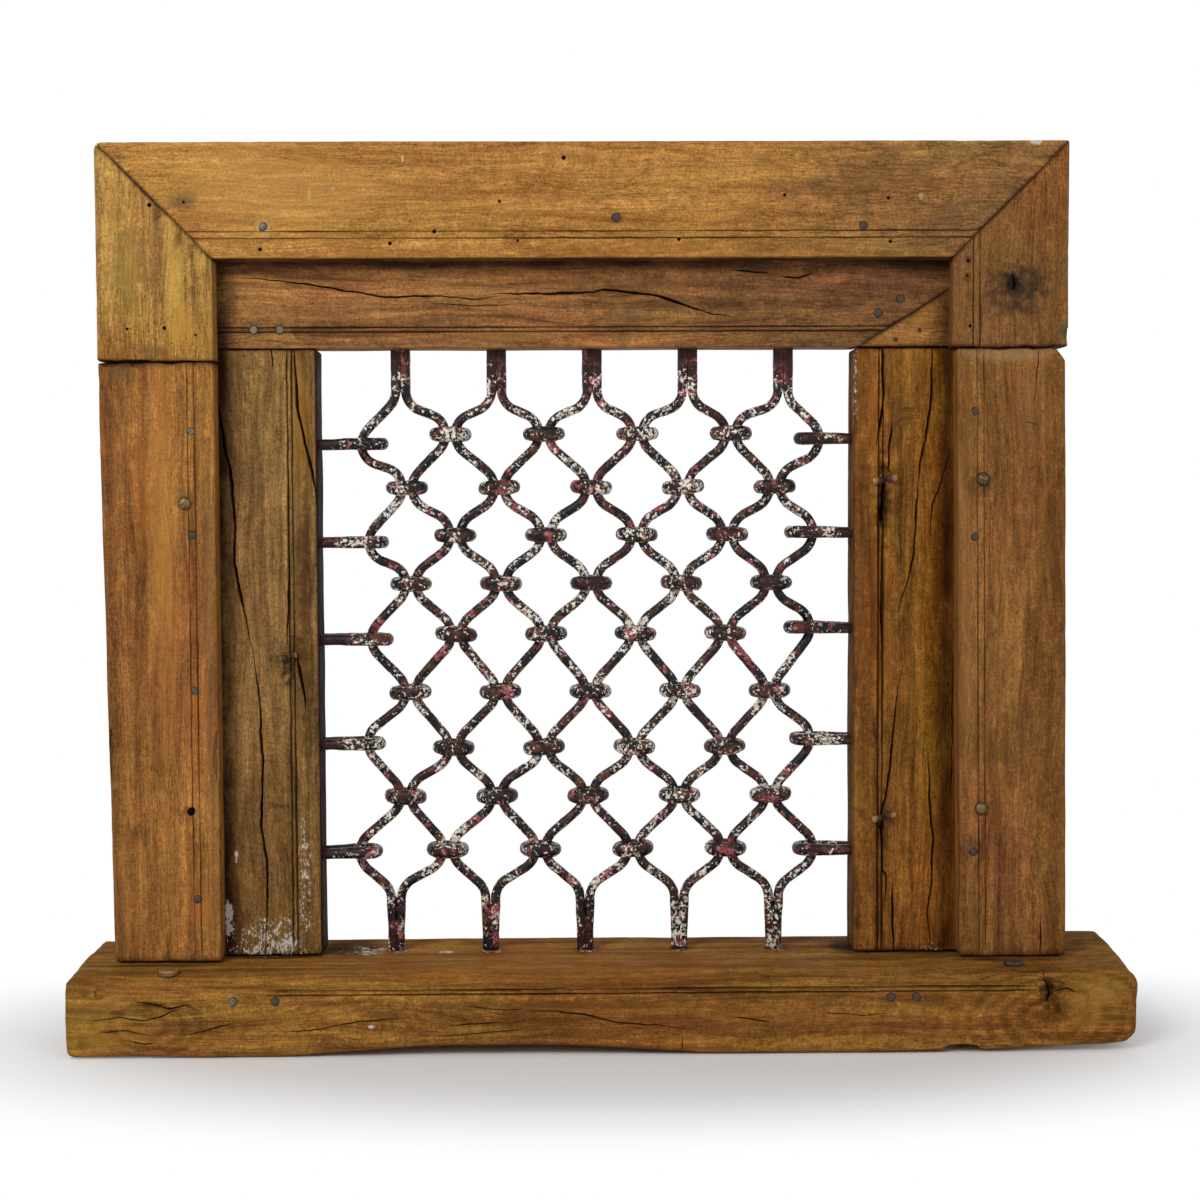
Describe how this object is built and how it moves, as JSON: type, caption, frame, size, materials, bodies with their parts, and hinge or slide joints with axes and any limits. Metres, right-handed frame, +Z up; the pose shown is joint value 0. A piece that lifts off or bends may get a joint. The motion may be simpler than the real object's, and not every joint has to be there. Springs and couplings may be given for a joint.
{
  "type": "jali window",
  "caption": "Old teak window frame with a deep projecting sill, a recessed inner frame and a fixed grille of wavy iron bars held together by oval collars.",
  "frame": {"origin": "on the ground, under the middle of the sill's length and depth", "axes": "+X along the sill to the right seen from the front, +Y from the front to the back, +Z up"},
  "size_m": [0.901, 0.153, 0.768],
  "materials": {
    "sill_teak": "aged waxed teak, golden olive brown, hewn and worn",
    "outer_teak": "aged waxed teak, golden to reddish brown",
    "inner_teak": "aged waxed teak, darker, cracked, with old paint on the opening's edges",
    "painted_iron": "forged iron with flaked cream and maroon paint over rust",
    "rusted_iron": "forged iron, rusted and rubbed"
  },
  "bodies": {
    "root": {"sill": "sill_teak", "header": "outer_teak", "left_corner_block": "outer_teak", "right_corner_block": "outer_teak", "left_post": "outer_teak", "right_post": "outer_teak", "inner_header": "inner_teak", "inner_corner_wedge": "inner_teak", "left_inner_stile": "inner_teak", "right_inner_stile": "inner_teak", "grille_bar_1": "painted_iron", "grille_bar_2": "painted_iron", "grille_bar_3": "painted_iron", "grille_bar_4": "painted_iron", "grille_bar_5": "painted_iron", "grille_bar_6": "painted_iron", "grille_bar_7": "painted_iron", "grille_bar_8": "painted_iron", "grille_bar_9": "painted_iron", "grille_bar_10": "painted_iron", "collars_row_1": "painted_iron", "collars_row_2": "painted_iron", "collars_row_3": "painted_iron", "collars_row_4": "painted_iron", "collars_row_5": "painted_iron", "collars_row_6": "painted_iron", "collars_row_7": "painted_iron", "collars_row_8": "painted_iron", "collars_row_9": "painted_iron", "left_tie_1": "painted_iron", "left_tie_2": "painted_iron", "left_tie_3": "painted_iron", "left_tie_4": "painted_iron", "left_tie_5": "painted_iron", "right_tie_1": "painted_iron", "right_tie_2": "painted_iron", "right_tie_3": "painted_iron", "right_tie_4": "painted_iron", "right_tie_5": "painted_iron", "header_nails": "rusted_iron", "left_post_nails": "rusted_iron", "right_post_nails": "rusted_iron", "domed_nails": "rusted_iron", "wedge_brads": "rusted_iron", "sill_spikes": "rusted_iron", "latch_staple": "rusted_iron", "hinge_staples": "rusted_iron", "inner_header_pins": "rusted_iron", "sill_pins": "rusted_iron"}
  },
  "joints": []
}
